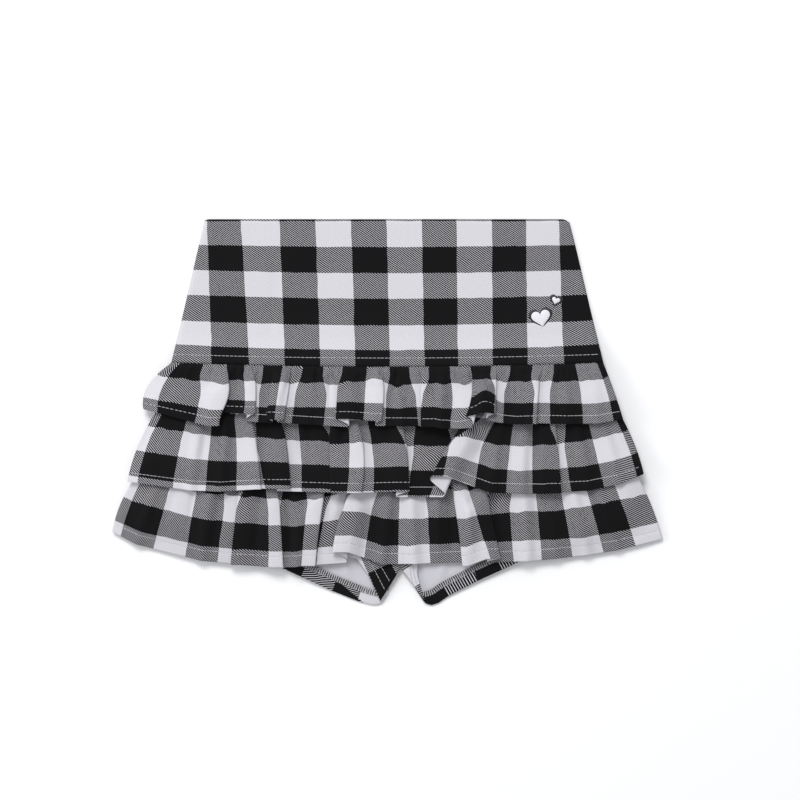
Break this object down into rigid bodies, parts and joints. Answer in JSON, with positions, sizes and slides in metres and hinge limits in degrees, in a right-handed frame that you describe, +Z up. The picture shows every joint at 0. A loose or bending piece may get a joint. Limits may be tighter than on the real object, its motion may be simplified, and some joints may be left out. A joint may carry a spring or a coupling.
{
  "type": "ruffle skort",
  "caption": "Child's skort laid flat: a smooth yoke over shorts, with gathered and folded ruffle tiers front and back in a black and white check twill.",
  "frame": {"origin": "middle of the laid garment's outline, on the surface it lies on", "axes": "+Z up from the surface, +Y towards the waist, +X to the right of the garment seen from above"},
  "size_m": [0.4309, 0.3016, 0.0255],
  "materials": {
    "check_twill": "matte"
  },
  "bodies": {
    "root": {"yoke_front": "check_twill", "yoke_back": "check_twill", "tier_1_front": "check_twill", "tier_2_front": "check_twill", "tier_3_front": "check_twill", "tier_1_back": "check_twill", "tier_2_back": "check_twill", "tier_3_back": "check_twill", "shorts_front_left": "check_twill", "shorts_front_right": "check_twill", "shorts_back_left": "check_twill", "shorts_back_right": "check_twill"}
  },
  "joints": []
}
